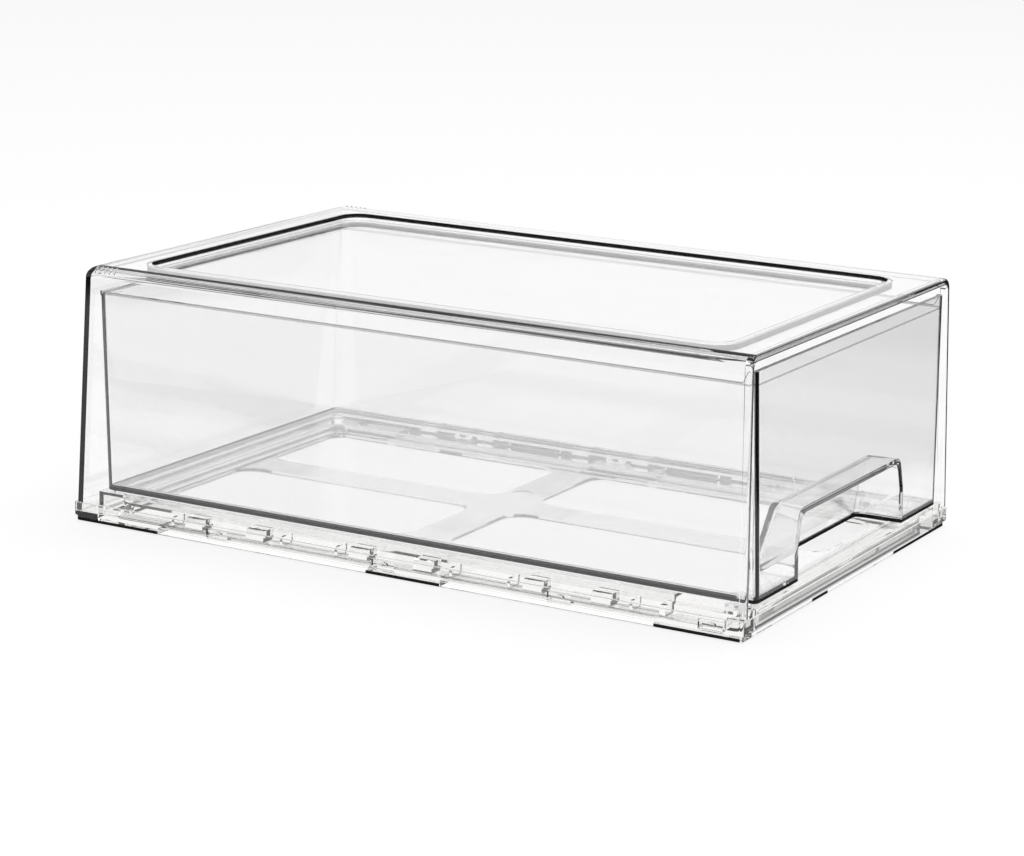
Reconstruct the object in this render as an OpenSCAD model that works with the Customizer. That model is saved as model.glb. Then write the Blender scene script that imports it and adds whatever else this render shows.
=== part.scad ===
// Stackable drawer box in clear plastic: a drafted cover that clips into a windowed base, and a tray
// that slides out of the open front. Origin at the middle of the underside, front towards -Y.

/* [Base] */
// Width of the base, side to side
base_w = 204; // [160:1:280]
// Depth of the base, front to back
base_l = 310; // [240:1:420]
// Height of the outer rail above the surface the box stands on
rail_h = 7.9; // [7.2:0.1:9]
// Thickness of the base's walls and floor
base_t = 1.4; // [1:0.1:1.8]
// Radius of the base's rear corners, seen from above
base_corner_r = 3; // [2.5:0.5:8]
// Radius of the base's front corners, seen from above
base_front_r = 1.6; // [1:0.1:3]
// Height of the set-back foot band under the rail
foot_h = 2.4; // [1.6:0.1:2.8]
// How far the foot band is set back from the rail
foot_inset = 1; // [0.5:0.1:1.4]
// Height of the deck that the drawer slides on
deck_h = 11; // [9.6:0.1:12]
// Width of the channel between the rail and the deck
channel_w = 9.6; // [8:0.1:12]
// Height of the channel's floor
channel_z = 4; // [3.6:0.1:4.6]
// Width of the deck's sliding face
deck_w = 8; // [6:0.5:12]
// Height of the floor inside the deck
well_z = 6; // [5.4:0.1:7]

/* [Base windows] */
// Width of the bars of the cross between the windows
bar_w = 18; // [12:1:30]
// How far the crossing bar sits behind the middle
bar_y = 4; // [-10:1:10]
// Distance from the base's side to the windows
window_side = 35; // [28:1:45]
// Distance from the base's back to the windows
window_rear = 25; // [22:1:40]
// Distance from the base's front to the windows
window_front = 18; // [17:1:40]
// Corner radius of the windows
window_r = 10; // [6:1:20]

/* [Clips] */
// Distance from one clip to the next along a side
clip_pitch = 79.3; // [74:0.1:84]
// Where the middle clip sits, behind the middle
clip_y = 2.5; // [-4:0.5:4]
// Distance of the front clip from the front
front_clip_y = 13.8; // [13.5:0.1:16]
// Length of a clip's window in the rail
clip_w = 10.4; // [8:0.1:11]
// Height of a clip's window
clip_h = 3.8; // [2.6:0.1:4]
// Thickness of the ribs across the channel
rib_t = 1.2; // [0.8:0.1:2]
// Distance from a clip to the rib behind it
rib_rear = 23; // [21:0.5:26]
// Distance from a clip to the rib in front of it
rib_front = 29; // [26:0.5:32]
// Length of the pocket in each side of the deck, behind the front clip
pocket_l = 21; // [14:1:26]
// Thickness of the cross rib behind that pocket
pocket_rib = 2.5; // [1.5:0.1:4]
// Length of the guide blocks beside a clip
guide_l = 8.5; // [6:0.5:10]
// Distance from a clip to the guide block behind it
guide_rear = 9; // [8:0.5:10]
// Distance from a clip to the guide block in front of it
guide_front = 12.4; // [11:0.1:14]

/* [Cover] */
// Overall height of the box
box_h = 108; // [80:1:180]
// Thickness of the cover's walls
cover_t = 1.8; // [1.4:0.1:2.4]
// How far each side leans in from bottom to top
side_lean = 2.6; // [1:0.1:4]
// How far the open front leans back from bottom to top
front_lean = 3.4; // [1:0.1:5]
// How far the back leans in from bottom to top
rear_lean = 3.2; // [1:0.1:5]
// Radius of the cover's top edges, at the sides and the back
cover_edge_r = 4.8; // [4:0.1:6]
// Width of the stiffening band round the open front
band_w = 3.4; // [2.4:0.1:5]
// Thickness of that band at the sides
band_side = 2.6; // [2.4:0.1:3.2]
// Thickness of that band along the top
band_top = 3; // [2.6:0.1:4.4]

/* [Stacking recess] */
// Width of the flat margin round the recess at the sides
margin_side = 16.3; // [12:0.1:30]
// Width of the flat margin at the front
margin_front = 18.5; // [12:0.5:30]
// Width of the flat margin at the back
margin_rear = 17; // [12:0.5:30]
// Depth of the recess
recess_d = 3.1; // [1.5:0.1:4]
// Corner radius of the recess
recess_r = 9; // [5:0.5:14]

/* [Drawer] */
// Half the gap between the drawer's foot and the deck's edge
drawer_gap = 1.4; // [0.5:0.1:3]
// Thickness of the drawer's walls
drawer_t = 2; // [1.5:0.1:2.6]
// Thickness of the drawer's floor
drawer_floor = 2.2; // [1.5:0.1:3]
// How far each drawer side leans out from bottom to top
drawer_lean = 3.2; // [1:0.1:4]
// How far the drawer's back leans out from bottom to top
drawer_rear_lean = 1.2; // [0.6:0.1:3]
// Space between the drawer's rim and the top of the box
rim_drop = 11.4; // [8:0.1:14]
// How far the drawer's front stands above its other walls
front_rise = 4.6; // [1:0.1:4.8]
// How far the drawer's front sits behind the cover's front edge
front_setback = 0.6; // [0.4:0.1:2]
// Space between the drawer's back and the cover's back, at the rim
rear_gap = 1.6; // [1.5:0.1:4]
// Radius of the drawer's upright corners
drawer_corner_r = 2.8; // [2.7:0.1:5]
// Radius of the drawer's bottom edges
drawer_edge_r = 0.6; // [0.4:0.1:2]
// Height of the runners under the drawer
runner_h = 0.6; // [0.3:0.1:1]
// Width of the runners
runner_w = 1.2; // [0.8:0.1:2]
// Running clearance between the runners and the deck
slide_gap = 0.2; // [0.1:0.05:0.3]
// How far the catches stand out at the top of the drawer's back
catch_d = 1.1; // [0.6:0.1:1.3]
// Length of each catch
catch_l = 13; // [8:0.5:20]
// Height of each catch
catch_h = 2; // [1.5:0.1:4]

/* [Finger pull] */
// Width of the finger pull at the face of the drawer
pull_w = 105; // [70:1:130]
// Height of the finger pull above the drawer's underside
pull_h = 26.4; // [18:0.2:40]
// Depth of the finger pull at its top
pull_top_d = 15.5; // [10:0.5:25]
// Depth of the finger pull at its foot
pull_foot_d = 20.5; // [12:0.5:30]
// How much narrower each side of the pull is at its back, along the top
pull_taper = 6; // [2:0.5:8]
// Width of the round mark under the middle of the drawer's floor
mark_w = 9; // [5:0.5:14]
// Corner radius of the finger pull
pull_r = 7; // [4:0.5:10]

/* [Hidden] */
$fn = 32;
eps = 0.01;
seat_gap = 0.3;        // clearance between the cover and the base
seat_r = 0.6;          // radius of the rail's inner corners, where the cover stands
clear_plastic = [0.9, 0.92, 0.93, 0.45];

front_y = -base_l / 2;
rear_y = base_l / 2;
half_w = base_w / 2;

deck_x = half_w - base_t - channel_w;          // outer side of the deck
deck_front = front_y + 0.8;
deck_rear = rear_y - base_t - channel_w + 5;
well_x = deck_x - deck_w;
well_front = front_y + deck_w;
well_rear = deck_rear - deck_w;
corner_block = 7.6;                            // length of the solid front corners
corner_y = front_y + corner_block;
pocket_y = front_y + 13;                       // where the deck's pocket starts

cover_x = half_w - base_t - seat_gap;          // outer face of the cover at its foot
cover_foot = channel_z + seat_gap;
cover_front = front_y;
cover_rear = rear_y - base_t - seat_gap;
post_z = rail_h + seat_gap;                    // where the front of the cover's sides stands
cover_rise = box_h - cover_foot;
tongue_drop = clip_h - 0.6;
window_z = foot_h + 0.5;

drawer_z = deck_h + slide_gap + runner_h;      // underside of the drawer's floor
rim_z = box_h - rim_drop;
front_z = rim_z + front_rise;                  // top of the drawer's front
drawer_rise = rim_z - drawer_z;
drawer_x = deck_x - drawer_gap;
rim_rear = cover_rear - rear_lean * (rim_z - cover_foot) / cover_rise - cover_t - rear_gap;
foot_rear = rim_rear - drawer_rear_lean;

clip_places = concat([for (i = [-1:1]) clip_y + i * clip_pitch], [front_y + front_clip_y]);
side_places = [for (i = [-1:1]) clip_y + i * clip_pitch];

// where the cover's open front stands at a height
function front_at(z) = cover_front + front_lean * (z - cover_foot) / cover_rise;

// a flat plate with four rounded corners, the front ones with their own radius
module plate(x, y0, y1, r_front, r_rear, h) {
  linear_extrude(h) union() {
    translate([-x, y0 + r_front]) square([2 * x, y1 - y0 - r_front - r_rear]);
    translate([r_front - x, y0]) square([2 * (x - r_front), r_front + eps]);
    translate([r_rear - x, y1 - r_rear - eps]) square([2 * (x - r_rear), r_rear + eps]);
    for (s = [-1, 1]) {
      translate([s * (x - r_front), y0 + r_front]) circle(r_front);
      translate([s * (x - r_rear), y1 - r_rear]) circle(r_rear);
    }
  }
}

// a box on both sides, from x0 to x1 on each
module both_sides(x0, x1, y0, y1, z0, z1) {
  for (s = [-1, 1])
    translate([s > 0 ? x0 : -x1, y0, z0]) cube([x1 - x0, y1 - y0, z1 - z0]);
}

// the lower end of an upright corner, its rim rounded over
module post(x, y, z, corner, edge) {
  rim = [for (a = [0:15:90]) [corner - edge * (1 - cos(a)), edge * (1 - sin(a))]];
  translate([x, y, z])
    rotate_extrude() polygon(concat([[0, edge]], rim, [[0, 0]]));
}

module base_windows() {
  inner_x = bar_w / 2;
  outer_x = half_w - window_side;
  spans = [[front_y + window_front, bar_y - bar_w / 2], [bar_y + bar_w / 2, rear_y - window_rear]];
  for (s = [-1, 1], span = spans)
    translate([s * (inner_x + outer_x) / 2, 0, -1])
      plate((outer_x - inner_x) / 2, span[0], span[1], window_r, window_r, deck_h);
}

module channel_ribs() {
  x0 = deck_x - eps;
  x1 = half_w - base_t - cover_t - 2 * seat_gap - side_lean * 0.1;
  for (y = side_places) {
    both_sides(x0, x1, y + rib_rear, y + rib_rear + rib_t, channel_z - eps, rail_h);
    both_sides(x0, x1, y - rib_front - rib_t, y - rib_front, channel_z - eps, rail_h);
    both_sides(x0, x1, y + guide_rear, y + guide_rear + guide_l, channel_z - eps, rail_h + 0.8);
    both_sides(x0, x1, y - guide_front - guide_l, y - guide_front, channel_z - eps, rail_h + 0.8);
  }
  both_sides(x0, x1, pocket_y + pocket_l, pocket_y + pocket_l + pocket_rib, channel_z - eps, rail_h + 0.4);
  both_sides(x0, x1, rear_y - 23, rear_y - 23 + rib_t, channel_z - eps, rail_h);
}

module base() {
  color(clear_plastic)
    difference() {
      union() {
        translate([0, 0, foot_h])
          plate(half_w, front_y, rear_y, base_front_r, base_corner_r, channel_z - foot_h);
        plate(half_w - foot_inset, front_y + foot_inset, rear_y - foot_inset,
              base_front_r, base_corner_r - foot_inset, foot_h + eps);
        difference() {
          translate([0, 0, foot_h])
            plate(half_w, front_y, rear_y, base_front_r, base_corner_r, rail_h - foot_h);
          translate([0, 0, channel_z])
            plate(half_w - base_t, front_y + base_t, rear_y - base_t, seat_r, seat_r, rail_h);
        }
        translate([0, 0, foot_h])
          plate(deck_x, deck_front, deck_rear, 1, 1, deck_h - foot_h);
        both_sides(deck_x - eps, half_w - base_t + eps, front_y + base_t - eps, corner_y, foot_h, rail_h);
        both_sides(deck_x - eps, half_w - base_t - cover_t - 1.6, deck_front, corner_y - 1, foot_h, deck_h);
        channel_ribs();
      }
      // the well inside the deck
      translate([0, 0, well_z])
        plate(well_x, well_front, well_rear, 4, 4, deck_h);
      // hollows underneath, open downwards
      translate([0, 0, -1])
        plate(well_x - base_t, well_front + base_t, well_rear - base_t, 4, 4, well_z - base_t + 1);
      translate([0, 0, -1]) difference() {
        plate(deck_x - base_t, front_y + foot_inset + 2 * base_t, deck_rear - base_t, 2, 2,
              deck_h - base_t + 1);
        translate([0, 0, -1])
          plate(well_x + base_t, well_front - base_t, well_rear + base_t, 4, 4, deck_h + 4);
      }
      for (span = [[front_y + 38, bar_y - 27], [bar_y + 7, rear_y - 43]])
        both_sides(deck_x + base_t / 2, half_w - foot_inset - base_t, span[0], span[1],
                   -1, channel_z - base_t);
      both_sides(well_x + base_t, deck_x + eps, pocket_y, pocket_y + pocket_l, rail_h - 0.6, deck_h + 1);
      base_windows();
      // windows for the clips, with slots for their tongues in the channel's floor
      for (y = clip_places) {
        both_sides(half_w - base_t - 1, half_w + 1, y - clip_w / 2, y + clip_w / 2,
                   window_z, window_z + clip_h);
        both_sides(half_w - base_t - cover_t - 1.4, half_w - base_t + eps,
                   y - clip_w / 2, y + clip_w / 2, foot_h - 0.4, rail_h + 2);
      }
    }
}

// half of the cover's outline, out to a side that leans in and turns over into the top
module shoulder(x, lean, r, top, low) {
  a = atan(lean / cover_rise);
  steps = 8;
  centre = [x - lean * (top - r - cover_foot) / cover_rise - r / cos(a), top - r];
  polygon(concat(
    [[-1, low], [x - lean * (low - cover_foot) / cover_rise, low]],
    [for (i = [0:steps]) centre + r * [cos(a + (90 - a) * i / steps), sin(a + (90 - a) * i / steps)]],
    [[-1, top]]));
}

// the cover's outer or inner skin, drawn in by t, run out past the open front
module cover_body(t, top, low) {
  out = 30;
  r = cover_edge_r - t;
  intersection() {
    translate([0, cover_rear + 1, 0]) rotate([90, 0, 0]) linear_extrude(base_l + out)
      for (m = [0, 1]) mirror([m, 0]) shoulder(cover_x - t, side_lean, r, top, low);
    translate([-half_w, 0, 0]) rotate([90, 0, 90]) linear_extrude(base_w) {
      shoulder(cover_rear - t, rear_lean, r, top, low);
      translate([cover_front - out, low]) square([out - cover_front, top - low]);
    }
  }
}

// everything behind the leaning front, less set-back d, from height low upwards
module behind_front(d, low) {
  far = base_l + 20;
  rotate([90, 0, 90]) translate([0, 0, -base_w]) linear_extrude(2 * base_w)
    polygon([[front_at(low) + d, low], [front_at(box_h + 20) + d, box_h + 20],
             [far, box_h + 20], [far, low]]);
}

module recess(grow, z, h) {
  x = cover_x - side_lean - margin_side + grow;
  translate([0, 0, z])
    plate(x, front_at(box_h) + margin_front - grow, cover_rear - rear_lean - margin_rear + grow,
          recess_r + grow, recess_r + grow, h);
}

module cover() {
  lid_t = cover_t + 0.2;
  color(clear_plastic) {
    difference() {
      union() {
        difference() {
          intersection() {
            cover_body(0, box_h, cover_foot - 2);
            behind_front(0, cover_foot);
          }
          // the room inside, with the band round the front left standing
          intersection() {
            cover_body(cover_t, box_h - lid_t, cover_foot - 5);
            behind_front(band_w, cover_foot - 6);
          }
          cover_body(band_side, box_h - band_top, cover_foot - 5);
        }
        recess(lid_t, box_h - recess_d - lid_t, recess_d + lid_t - 1);
      }
      recess(0, box_h - recess_d, recess_d + 1);
      // the front of each side stands on the base's corner block
      translate([-base_w, front_y - 1, 0]) cube([2 * base_w, corner_block + 1.4, post_z]);
    }
    // tongues that reach down into the clip windows
    for (y = clip_places)
      both_sides(cover_x - cover_t + 0.1, cover_x - 0.1, y - clip_w / 2 + 0.5, y + clip_w / 2 - 0.5,
                 cover_foot + 1 - tongue_drop + 1.4, y < corner_y ? post_z + 1 : cover_foot + 1);
  }
}

// the tray's outer or inner skin, drawn in by t
module tray_body(t, z, top) {
  rise = (z - drawer_z) / drawer_rise;
  past = (top - drawer_z) / drawer_rise;
  corner = drawer_corner_r - t;
  edge = min(drawer_edge_r, corner);
  y_low = front_at(z) + front_setback + t + corner;
  y_top = front_at(top) + front_setback + t + corner;
  hull() {
    for (s = [-1, 1]) {
      for (y = [y_low, foot_rear + drawer_rear_lean * rise - t - corner])
        post(s * (drawer_x + drawer_lean * rise - t - corner), y, z, corner, edge);
      for (y = [y_top, foot_rear + drawer_rear_lean * past - t - corner])
        translate([s * (drawer_x + drawer_lean * past - t - corner), y, top])
          cylinder(r = corner, h = 0.5);
    }
  }
}

// the finger pull: an arch that narrows and steepens towards the back, grown by g
module pull_body(g) {
  z0 = drawer_z - 20;
  z_top = drawer_z + pull_h + g;
  x_face = pull_w / 2 + g;
  x_back = x_face - pull_taper;
  y_face = front_at(drawer_z) + front_setback;
  y_top = y_face + pull_top_d + g;
  y_foot = y_face + pull_foot_d + g;
  r = pull_r;
  hull() {
    translate([0, y_face - 8, 0]) rotate([90, 0, 0]) linear_extrude(1) {
      translate([-x_face, z0]) square([2 * x_face, z_top - r - z0]);
      for (s = [-1, 1]) translate([s * (x_face - r), z_top - r]) circle(r);
    }
    for (s = [-1, 1]) {
      translate([s * (x_back - 3), y_top - 3, z_top - 3]) sphere(3);
      translate([s * (x_face - 4), y_foot - 3, z0]) cylinder(r = 3, h = 21);
    }
  }
}

module drawer() {
  runner_x = [drawer_x - drawer_edge_r - runner_w - 0.3, well_x + 0.5];
  catch_x = drawer_x + drawer_lean - drawer_corner_r;
  behind_y = front_at(front_z) + front_setback + drawer_corner_r;
  color(clear_plastic) {
    difference() {
      tray_body(0, drawer_z, front_z + 2);
      // the room inside, with the walls round the finger pull left standing
      difference() {
        tray_body(drawer_t, drawer_z + drawer_floor, front_z + 4);
        pull_body(drawer_t);
      }
      pull_body(0);
      translate([-base_w, front_y - 20, front_z]) cube([2 * base_w, base_l + 40, 20]);
      // the sides and the back end lower than the front, with a slope between
      translate([-base_w, 0, 0]) rotate([90, 0, 90]) linear_extrude(2 * base_w)
        polygon([[behind_y + front_rise / 2, rim_z], [behind_y, front_z], [behind_y, front_z + 20],
                 [base_l, front_z + 20], [base_l, rim_z]]);
      translate([0, (foot_rear + front_y) / 2, drawer_z - 1]) cylinder(d = mark_w, h = 1.3);
    }
    for (x = runner_x)
      both_sides(x, x + runner_w, front_at(drawer_z) + front_setback + drawer_corner_r,
                 foot_rear - drawer_corner_r, drawer_z - runner_h, drawer_z + 1);
    for (s = [-1, 1])
      translate([s > 0 ? catch_x - catch_l : -catch_x, rim_rear - drawer_t / 2, rim_z - catch_h])
        cube([catch_l, drawer_t / 2 + catch_d, catch_h]);
  }
}

base();
cover();
drawer();
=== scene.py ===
import math
import bmesh
import bpy
from mathutils import Matrix, Vector


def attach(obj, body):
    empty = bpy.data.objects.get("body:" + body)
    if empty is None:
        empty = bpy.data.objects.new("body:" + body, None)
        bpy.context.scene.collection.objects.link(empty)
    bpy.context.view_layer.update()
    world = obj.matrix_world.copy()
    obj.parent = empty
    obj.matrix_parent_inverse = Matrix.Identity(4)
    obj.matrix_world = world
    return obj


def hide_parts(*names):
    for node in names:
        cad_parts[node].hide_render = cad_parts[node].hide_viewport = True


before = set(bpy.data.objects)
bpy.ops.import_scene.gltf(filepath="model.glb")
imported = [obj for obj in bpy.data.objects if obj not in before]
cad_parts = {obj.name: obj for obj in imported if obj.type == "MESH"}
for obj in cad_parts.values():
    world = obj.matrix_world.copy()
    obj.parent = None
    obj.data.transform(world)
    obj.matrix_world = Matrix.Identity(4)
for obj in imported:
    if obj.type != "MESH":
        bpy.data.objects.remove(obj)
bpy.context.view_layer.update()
mm = 0.001


class Wire:
    # wraps a socket, so that shader maths reads as ordinary sums

    def __init__(self, tree, socket):
        self.tree = tree
        self.socket = socket

    def mathWith(self, operation, first, second):
        return self.tree.node("ShaderNodeMath", {"operation": operation}, {0: first, 1: second})[0]

    def __add__(self, other):
        return self.mathWith("ADD", self, other)

    def __radd__(self, other):
        return self.mathWith("ADD", other, self)

    def __sub__(self, other):
        return self.mathWith("SUBTRACT", self, other)

    def __rsub__(self, other):
        return self.mathWith("SUBTRACT", other, self)

    def __mul__(self, other):
        return self.mathWith("MULTIPLY", self, other)

    def __rmul__(self, other):
        return self.mathWith("MULTIPLY", other, self)

    def __gt__(self, other):
        return self.mathWith("GREATER_THAN", self, other)

    def __lt__(self, other):
        return self.mathWith("LESS_THAN", self, other)

    def power(self, exponent):
        return self.mathWith("POWER", self, exponent)

    def most(self, other):
        return self.mathWith("MAXIMUM", self, other)


class ShaderTree:
    # the nodes of a material or of the world

    def __init__(self, owner):
        owner.use_nodes = True
        self.tree = owner.node_tree
        self.tree.nodes.clear()

    def node(self, kind, settings=None, inputs=None):
        made = self.tree.nodes.new(kind)
        for key, value in (settings or {}).items():
            setattr(made, key, value)
        for key, value in (inputs or {}).items():
            socket = made.inputs[key]
            if isinstance(value, Wire):
                self.tree.links.new(value.socket, socket)
            else:
                socket.default_value = value
        return [Wire(self, out) for out in made.outputs if out.enabled]

    def outputsOf(self, kind):
        # a node's outputs by their names
        return {wire.socket.name: wire for wire in self.node(kind)}

    def mixColours(self, factor, first, second):
        return self.node("ShaderNodeMix", {"data_type": "RGBA"}, {0: factor, 6: first, 7: second})[0]

    def mixShaders(self, factor, first, second):
        return self.node("ShaderNodeMixShader", None, {0: factor, 1: first, 2: second})[0]


def spanOf(nodeName):
    # the lowest and the highest corner of a CAD node
    points = [vert.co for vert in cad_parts[nodeName].data.vertices]
    return [[pick(point[axis] for point in points) for axis in range(3)] for pick in (min, max)]


caseFoot = spanOf("base")[0]
caseTop = spanOf("cover")[1]
trayFoot, trayTop = spanOf("drawer")
anywhere = (-1, 1)


def bandFrom(level, low, high):
    # two planes, given in millimetres from a level
    return level + low * mm, level + high * mm


def upTo(level):
    return anywhere[0], level


def paintedShadeBand(share, x=anywhere, y=anywhere, z=anywhere, steepOnly=True):
    # painted shade: a dark band where an edge looks dark from outside, as light is led along inside the
    # plastic there
    return {"share": share, "x": x, "y": y, "z": z, "steepOnly": steepOnly}


# the planes that bound the bands of painted shade
nearLip = upTo(caseFoot[1] + 4.4 * mm)  # the thick band round the open front
nearFront = upTo(caseFoot[1] + 3 * mm)
onFront = upTo(caseFoot[1] + 0.5 * mm)
onRail = upTo(caseFoot[2] + 7.9 * mm)  # the base's outer rail
onPads = upTo(caseFoot[2] + 1.3 * mm)  # the lower edges of its foot pads
sidePads = ((-153, -117), (-23, 11), (112, 153))  # millimetres along the base
frontPads = ((-37, -22), (45, 101))  # millimetres across it

mouldings = {
    "cover": {
        "body": "case", "slot": "clear_cover", "piece": "coverMoulding", "eased": True,
        "tint": (1.0, 0.999, 0.9995, 1), "shade": (0.999, 0.997, 0.998, 1), "roughness": 0.008,
        "ripple": 0.05, "absorb": 8.0, "absorbColour": (0.36, 0.34, 0.35, 1),
        # painted shade: dark lines along the top recess's edges and along the lip round the open front
        "paintedShadeBands": [
            paintedShadeBand(1, bandFrom(0, -82, 82), bandFrom(0, -134, 134), bandFrom(caseTop[2], -1.3, 0)),
            paintedShadeBand(0.4, y=nearLip, z=bandFrom(caseTop[2], -2.9, -0.3)),
            paintedShadeBand(0.9, y=nearLip, z=bandFrom(caseTop[2], -2.9, -2.2)),
        ],
    },
    "base": {
        "body": "case", "slot": "clear_base", "piece": "baseMoulding", "eased": False,
        "tint": (1.0, 0.999, 0.996, 1), "shade": (0.996, 0.995, 0.991, 1), "roughness": 0.01,
        "ripple": 0.04, "absorb": 9.0, "absorbColour": (0.42, 0.40, 0.35, 1),
        # painted shade: black along the foot pads' lower edges, where the dark table and contact shadow
        # show through, and grey on the front rail
        "paintedShadeBands": [
            *(paintedShadeBand(1, y=bandFrom(0, *pad), z=onPads, steepOnly=False) for pad in sidePads),
            *(paintedShadeBand(1, bandFrom(0, *pad), nearFront, onPads, steepOnly=False) for pad in frontPads),
            paintedShadeBand(0.25, y=onFront, z=onRail),
        ],
    },
    "drawer": {
        "body": "tray", "slot": "clear_drawer", "piece": "drawerMoulding", "eased": True,
        "tint": (1.0, 0.998, 0.999, 1), "shade": (0.996, 0.994, 0.995, 1), "roughness": 0.01,
        "ripple": 0.05, "absorb": 12.0, "absorbColour": (0.36, 0.34, 0.35, 1),
        # painted shade: a dark band along the drawer's bottom edge for its contact shadow, and a grey line
        # below the rim
        "paintedShadeBands": [
            paintedShadeBand(1, z=bandFrom(trayFoot[2], 0.5, 2.2)),
            paintedShadeBand(0.4, z=bandFrom(trayTop[2], -5.4, -4.6)),
        ],
    },
}

# what all of the clear plastic shares
plastic = {"ior": 1.55, "cloudScale": 9.0, "cloudDetail": 2.0, "flowScale": 26.0, "flowDetail": 1.0,
           "smear": 0.02, "smearPower": 3.0, "rippleDepth": 1 * mm, "paintedShadeColour": (0.02, 0.02, 0.02, 1),
           "steepUnder": 0.4}


def within(value, ends):
    return (value > ends[0]) * (value < ends[1])


def paintedShadeShare(tree, place, normal, bands):
    # how much painted shade the bands put on a point: none elsewhere, nor where a ray meets them from
    # within
    x, y, z = tree.node("ShaderNodeSeparateXYZ", None, {0: place})
    tilt = tree.node("ShaderNodeSeparateXYZ", None, {0: normal})[2]
    steep = (tilt * tilt) < plastic["steepUnder"]
    share = None
    for band in bands:
        part = within(x, band["x"]) * within(y, band["y"]) * within(z, band["z"]) * band["share"]
        if band["steepOnly"]:
            part = part * steep
        share = part if share is None else share.most(part)
    return share * (1 - tree.outputsOf("ShaderNodeNewGeometry")["Backfacing"])


def clearPlastic(name, look):
    # faintly clouded clear plastic, with soft ripples in its gloss, and painted shade mixed in as dark
    # bands along some edges
    material = bpy.data.materials.new(name)
    tree = ShaderTree(material)
    coords = tree.outputsOf("ShaderNodeTexCoord")
    place = coords["Object"]
    clouds = tree.node("ShaderNodeTexNoise", None, {
        "Vector": place, "Scale": plastic["cloudScale"], "Detail": plastic["cloudDetail"]})[0]
    flow = tree.node("ShaderNodeTexNoise", None, {
        "Vector": place, "Scale": plastic["flowScale"], "Detail": plastic["flowDetail"]})[0]
    ripple = tree.node("ShaderNodeBump", None, {
        "Strength": look["ripple"], "Distance": plastic["rippleDepth"], "Height": flow})[0]
    clear = tree.node("ShaderNodeBsdfPrincipled", None, {
        "Base Color": tree.mixColours(clouds, look["tint"], look["shade"]),
        "Roughness": look["roughness"] + plastic["smear"] * clouds.power(plastic["smearPower"]),
        "IOR": plastic["ior"], "Transmission Weight": 1.0, "Normal": ripple})[0]
    # a near-black matte surface, mixed in as painted shade where the bands lie
    dark = tree.node("ShaderNodeBsdfDiffuse", None, {"Color": plastic["paintedShadeColour"]})[0]
    share = paintedShadeShare(tree, place, coords["Normal"], look["paintedShadeBands"])
    depth = tree.node("ShaderNodeVolumeAbsorption", None, {
        "Color": look["absorbColour"], "Density": look["absorb"]})[0]
    tree.node("ShaderNodeOutputMaterial", None, {
        "Surface": tree.mixShaders(share, clear, dark), "Volume": depth})
    return material


joinWithin = 0.002 * mm
flatWithin = math.radians(0.2)
smoothUnder = math.radians(32)
facesFront = -0.9  # the normal's y on the cover's lip is below this
edgeRound = {"radius": 0.3 * mm, "segments": 2, "shortest": 1.2 * mm, "narrowest": 0.9 * mm, "beside": 4}
lipRound = {"radius": 0.9 * mm, "segments": 3}
roundProfile = 0.5
largeFacesLead = {"weight": 60, "threshold": 1e-9}


def sharpEdge(edge):
    return len(edge.link_faces) == 2 and edge.calc_face_angle(0) > smoothUnder


def roomyEdge(edge):
    # a sharp edge with no short edge at its ends and no narrow face beside it, which a radius would overrun
    if not sharpEdge(edge) or edge.calc_length() < edgeRound["shortest"]:
        return False
    beside = [other for vert in edge.verts for other in vert.link_edges if other is not edge]
    if len(beside) != edgeRound["beside"]:
        return False
    if min(other.calc_length() for other in beside) < edgeRound["shortest"]:
        return False
    widths = [face.calc_area() / max(side.calc_length() for side in face.edges) for face in edge.link_faces]
    return min(widths) > edgeRound["narrowest"]


def easeEdges(skin, chosen, size):
    bmesh.ops.bevel(skin, geom=chosen, offset=size["radius"], offset_type="OFFSET", affect="EDGES",
                    segments=size["segments"], profile=roundProfile, clamp_overlap=False)


def easeLip(skin):
    # the lip round the cover's open front is rounded over more than the other edges
    forward = [face for face in skin.faces
               if face.normal.y < facesFront and face.calc_center_median().y < 0]
    lip = max(forward, key=lambda face: face.calc_area())
    edges = [edge for edge in lip.edges if sharpEdge(edge)]
    easeEdges(skin, edges, lipRound)
    print("stage: the cover's lip is rounded over along", len(edges), "edges")


def smoothMoulding(nodeName, facts, material):
    # the CAD solid welded into one skin, its roomy edges eased and its curved faces shaded as curves
    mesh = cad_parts[nodeName].data.copy()
    mesh.name = facts["piece"]
    skin = bmesh.new()
    skin.from_mesh(mesh)
    bmesh.ops.remove_doubles(skin, verts=skin.verts, dist=joinWithin)
    bmesh.ops.dissolve_degenerate(skin, edges=skin.edges, dist=joinWithin)
    bmesh.ops.dissolve_limit(skin, angle_limit=flatWithin, verts=skin.verts, edges=skin.edges)
    if nodeName == "cover":
        easeLip(skin)
    if facts["eased"]:
        easeEdges(skin, [edge for edge in skin.edges if roomyEdge(edge)], edgeRound)
    for face in skin.faces:
        face.smooth = True
    skin.to_mesh(mesh)
    skin.free()
    mesh.set_sharp_from_angle(angle=smoothUnder)
    mesh.materials.clear()
    mesh.materials.append(material)
    piece = bpy.data.objects.new(facts["piece"], mesh)
    bpy.context.scene.collection.objects.link(piece)
    shade = piece.modifiers.new("largeFacesLead", "WEIGHTED_NORMAL")
    shade.keep_sharp = True
    shade.weight = largeFacesLead["weight"]
    shade.thresh = largeFacesLead["threshold"]
    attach(piece, facts["body"])
    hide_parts(nodeName)


for nodeName, facts in mouldings.items():
    material = clearPlastic("clear" + nodeName.capitalize(), facts)
    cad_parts[nodeName].data.materials.clear()
    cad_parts[nodeName].data.materials.append(material)
    smoothMoulding(nodeName, facts, material)
print("stage: the three mouldings")


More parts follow.
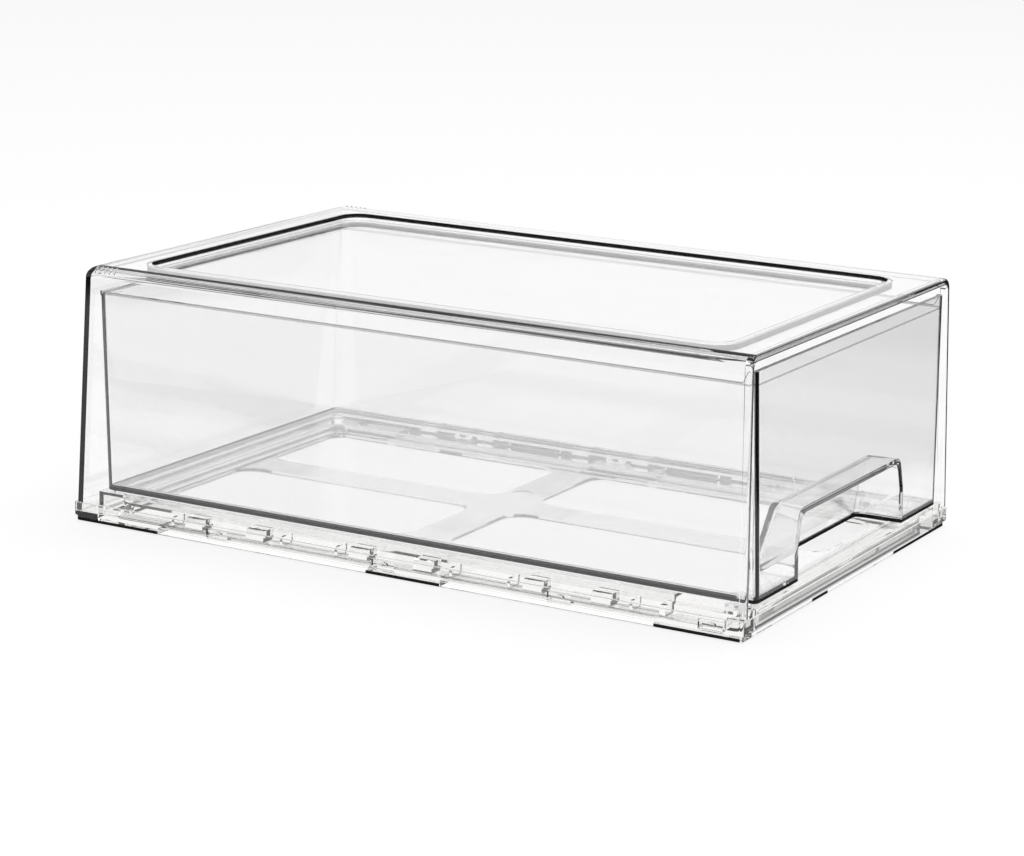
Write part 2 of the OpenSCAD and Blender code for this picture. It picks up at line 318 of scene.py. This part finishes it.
class GeometryTree:
    # a geometry node group whose inputs carry names

    def __init__(self, name, inputs):
        self.tree = bpy.data.node_groups.new(name, "GeometryNodeTree")
        panel = self.tree.interface
        panel.new_socket("Geometry", in_out="OUTPUT", socket_type="NodeSocketGeometry")
        panel.new_socket("Geometry", in_out="INPUT", socket_type="NodeSocketGeometry")
        self.sockets = {label: panel.new_socket(label, in_out="INPUT", socket_type=kind).identifier
                        for label, kind in inputs.items()}
        self.given = {out.name: out for out in self.tree.nodes.new("NodeGroupInput").outputs}

    def node(self, kind, settings=None, inputs=None):
        made = self.tree.nodes.new(kind)
        for key, value in (settings or {}).items():
            setattr(made, key, value)
        for key, value in (inputs or {}).items():
            if isinstance(value, bpy.types.NodeSocket):
                self.tree.links.new(value, made.inputs[key])
            else:
                made.inputs[key].default_value = value
        return made.outputs

    def pointVector(self, label):
        # a vector that the points carry under this name
        return self.node("GeometryNodeInputNamedAttribute", {"data_type": "FLOAT_VECTOR"}, {
            "Name": label})[0]

    def finish(self, geometry):
        end = self.tree.nodes.new("NodeGroupOutput")
        self.tree.links.new(geometry, end.inputs[0])


def studGroup():
    # one tapered stud at each point, turned and stretched as the point says
    group = GeometryTree("studs", {
        "radius": "NodeSocketFloat", "crown": "NodeSocketFloat", "height": "NodeSocketFloat",
        "sides": "NodeSocketInt", "plastic": "NodeSocketMaterial"})
    given = group.given
    stud = group.node("GeometryNodeMeshCone", None, {
        "Vertices": given["sides"], "Radius Top": given["crown"], "Radius Bottom": given["radius"],
        "Depth": given["height"]})["Mesh"]
    placed = group.node("GeometryNodeInstanceOnPoints", None, {
        "Points": given["Geometry"], "Instance": stud, "Rotation": group.pointVector("turn"),
        "Scale": group.pointVector("stretch")})[0]
    real = group.node("GeometryNodeRealizeInstances", None, {"Geometry": placed})[0]
    group.finish(group.node("GeometryNodeSetMaterial", None, {
        "Geometry": real, "Material": given["plastic"]})[0])
    return group


# bosses in the clip windows, and fine ticks on the round edge where the cover's sides turn into its top
studs = {
    "body": "case", "slot": "clear_cover", "piece": "caseStuds",
    "radius": 1.0 * mm, "crown": 0.8 * mm, "height": 0.8 * mm, "sides": 24,
    "clipsAlong": (81.8 * mm, 2.5 * mm, -76.8 * mm, -141.2 * mm), "clipHeight": 4.9 * mm,
    "clipSink": 0.1 * mm, "clipStretch": (0.9, 1.7, 1.0), "tongueSetBack": 0.1 * mm,
    "tickCount": 5, "tickPitch": 2.4 * mm, "tickRear": 7.7 * mm, "tickStretch": (1.8, 0.3, 0.6),
    "edgeRadius": 4.8 * mm, "edgeMiddle": 93.0 * mm,
}


def studPlaces():
    points, turns, stretches = [], [], []
    tongue = spanOf("cover")[1][0] - studs["tongueSetBack"]
    onTongue = tongue + studs["height"] / 2 - studs["clipSink"]
    onEdge = studs["edgeRadius"] / math.sqrt(2)  # the middle of the round edge, seen from its centre
    for side in (-1, 1):
        for y in studs["clipsAlong"]:
            points.append((side * onTongue, y, studs["clipHeight"]))
            turns.append((0, side * math.pi / 2, 0))
            stretches.append(studs["clipStretch"])
        for step in range(studs["tickCount"]):
            points.append((side * (studs["edgeMiddle"] + onEdge),
                           caseTop[1] - studs["tickRear"] - step * studs["tickPitch"],
                           caseTop[2] - studs["edgeRadius"] + onEdge))
            turns.append((0, side * math.pi / 4, 0))
            stretches.append(studs["tickStretch"])
    return points, turns, stretches


def makeStuds(material):
    points, turns, stretches = studPlaces()
    mesh = bpy.data.meshes.new("studPlaces")
    mesh.from_pydata(points, [], [])
    for label, values in (("turn", turns), ("stretch", stretches)):
        layer = mesh.attributes.new(label, "FLOAT_VECTOR", "POINT")
        for item, value in zip(layer.data, values):
            item.vector = value
    seeds = bpy.data.objects.new("studPlaces", mesh)
    bpy.context.scene.collection.objects.link(seeds)
    group = studGroup()
    grown = seeds.modifiers.new("studs", "NODES")
    grown.node_group = group.tree
    for label in ("radius", "crown", "height", "sides"):
        grown[group.sockets[label]] = studs[label]
    grown[group.sockets["plastic"]] = material
    bpy.context.view_layer.update()
    ready = seeds.evaluated_get(bpy.context.evaluated_depsgraph_get())
    plain = bpy.data.meshes.new_from_object(ready)
    plain.name = studs["piece"]
    bpy.data.objects.remove(seeds)
    piece = bpy.data.objects.new(studs["piece"], plain)
    bpy.context.scene.collection.objects.link(piece)
    plain.set_sharp_from_angle(angle=smoothUnder)
    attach(piece, studs["body"])


makeStuds(clearPlastic("clearStuds", mouldings["cover"]))
print("stage: the studs in the clip windows and the ticks at the rear corners")


# the photograph's own viewing angle, worked out from the box's edges
viewpoint = {"back": (-0.8505068, -0.4716213, 0.2328336), "up": (0.1908145, 0.1358449, 0.9721812),
             "place": (-1.1072173, -0.6118035, 0.3437761), "lens": 108.83, "sensor": 36.0,
             "near": 0.05, "far": 60}
awayFromCamera = Vector((-viewpoint["back"][0], -viewpoint["back"][1], 0)).normalized()
leftOfCamera = Vector((-awayFromCamera.y, awayFromCamera.x, 0))

studio = {"floorSize": 14.0, "floorDrop": 0.4 * mm, "floorGrey": 0.9, "ambient": 0.55,
          "seenGlow": 0.82, "throughGlow": 1.0, "dark": 0.08, "ceiling": 0.6,
          "litBeside": (0.25, 0.33), "litHeight": (0.35, 0.75), "cardEdge": 0.14}
white = (1, 1, 1, 1)

# pale cards on the floor, which only the plastic sees
cards = (
    {"middle": (-0.36, 0.16, 0), "reach": 0.5, "level": 1.0},
    {"middle": (0.27, -0.32, 0), "reach": 0.26, "level": 0.4},
)
lamps = {
    "softTop": {"place": (0.3, -0.2, 2.2), "target": (0, 0, 0), "size": 1.8, "power": 36.0},
    "softLeft": {"place": (-1.6, -1.2, 1.2), "target": (0, 0, 0.05), "size": 1.0, "power": 9.0},
}


def rampBetween(tree, value, ends, low, high):
    return tree.node("ShaderNodeMapRange", {"interpolation_type": "SMOOTHSTEP"}, {
        "Value": value, "From Min": ends[0], "From Max": ends[1], "To Min": low, "To Max": high})[0]


def rayKinds(tree):
    # the camera's own rays, and the rays that were mirrored or let through by the plastic
    rays = tree.outputsOf("ShaderNodeLightPath")
    return rays["Is Camera Ray"], rays["Is Glossy Ray"].most(rays["Is Transmission Ray"])


def notBlack(lit):
    return studio["dark"] + (1 - studio["dark"]) * lit


def floorPlastic(tree):
    # what the plastic sees of the floor: bright near the box and at the cards, dark far to the sides
    place = tree.outputsOf("ShaderNodeNewGeometry")["Position"]
    beside = tree.node("ShaderNodeVectorMath", {"operation": "DOT_PRODUCT"}, {
        0: place, 1: leftOfCamera})[0]
    lit = rampBetween(tree, beside.most(0 - beside), studio["litBeside"], 1, 0)
    for card in cards:
        apart = tree.node("ShaderNodeVectorMath", {"operation": "DISTANCE"}, {
            0: place, 1: card["middle"]})[0]
        ends = (card["reach"] - studio["cardEdge"], card["reach"])
        lit = lit.most(rampBetween(tree, apart, ends, card["level"], 0))
    return notBlack(lit)


def paleFloor():
    material = bpy.data.materials.new("paleFloor")
    tree = ShaderTree(material)
    grey = studio["floorGrey"]
    matte = tree.node("ShaderNodeBsdfDiffuse", None, {"Color": (grey, grey, grey, 1)})[0]
    lit = floorPlastic(tree)
    camera, through = rayKinds(tree)
    glow = tree.node("ShaderNodeEmission", None, {
        "Color": white, "Strength": camera + (1 - camera) * lit})[0]
    share = camera * studio["seenGlow"] + through * studio["throughGlow"]
    tree.node("ShaderNodeOutputMaterial", None, {"Surface": tree.mixShaders(share, matte, glow)})
    return material


def makeFloor():
    half = studio["floorSize"] / 2
    mesh = bpy.data.meshes.new("studioFloor")
    corners = [(-half, -half, 0), (half, -half, 0), (half, half, 0), (-half, half, 0)]
    mesh.from_pydata(corners, [], [(0, 1, 2, 3)])
    mesh.materials.append(paleFloor())
    floor = bpy.data.objects.new("studioFloor", mesh)
    floor.location.z = -studio["floorDrop"]
    bpy.context.scene.collection.objects.link(floor)


def makeLamp(name, facts):
    light = bpy.data.lights.new(name, "AREA")
    light.shape = "SQUARE"
    light.size = facts["size"]
    light.energy = facts["power"]
    lamp = bpy.data.objects.new(name, light)
    lamp.location = facts["place"]
    toward = Vector(facts["target"]) - Vector(facts["place"])
    lamp.rotation_euler = toward.to_track_quat("-Z", "Y").to_euler()
    bpy.context.scene.collection.objects.link(lamp)


def makeWorld():
    # white to the camera; the plastic sees a bright horizon, a dimmer belt and a greyer ceiling
    world = bpy.data.worlds.new("studioWorld")
    bpy.context.scene.world = world
    tree = ShaderTree(world)
    direction = tree.outputsOf("ShaderNodeTexCoord")["Generated"]
    height = tree.node("ShaderNodeSeparateXYZ", None, {0: direction})[2]
    horizon = rampBetween(tree, height, studio["litHeight"], 1, 0)
    ceiling = rampBetween(tree, height, studio["litHeight"], 0, studio["ceiling"])
    camera, through = rayKinds(tree)
    indirect = through * notBlack(horizon.most(ceiling)) + (1 - through) * studio["ambient"]
    sky = tree.node("ShaderNodeBackground", None, {
        "Color": white, "Strength": camera + (1 - camera) * indirect})[0]
    tree.node("ShaderNodeOutputWorld", None, {"Surface": sky})


def makeCamera():
    back = Vector(viewpoint["back"]).normalized()
    side = Vector(viewpoint["up"]).cross(back).normalized()
    up = back.cross(side)
    lens = bpy.data.cameras.new("camera")
    lens.sensor_width = viewpoint["sensor"]
    lens.lens = viewpoint["lens"]
    lens.clip_start = viewpoint["near"]
    lens.clip_end = viewpoint["far"]
    camera = bpy.data.objects.new("camera", lens)
    turn = Matrix((side, up, back)).transposed().to_4x4()
    camera.matrix_world = Matrix.Translation(viewpoint["place"]) @ turn
    bpy.context.scene.collection.objects.link(camera)
    bpy.context.scene.camera = camera


makeFloor()
for name, facts in lamps.items():
    makeLamp(name, facts)
makeWorld()
makeCamera()
bpy.context.scene.view_settings.view_transform = "Standard"
print("stage: studio, lamps and camera")
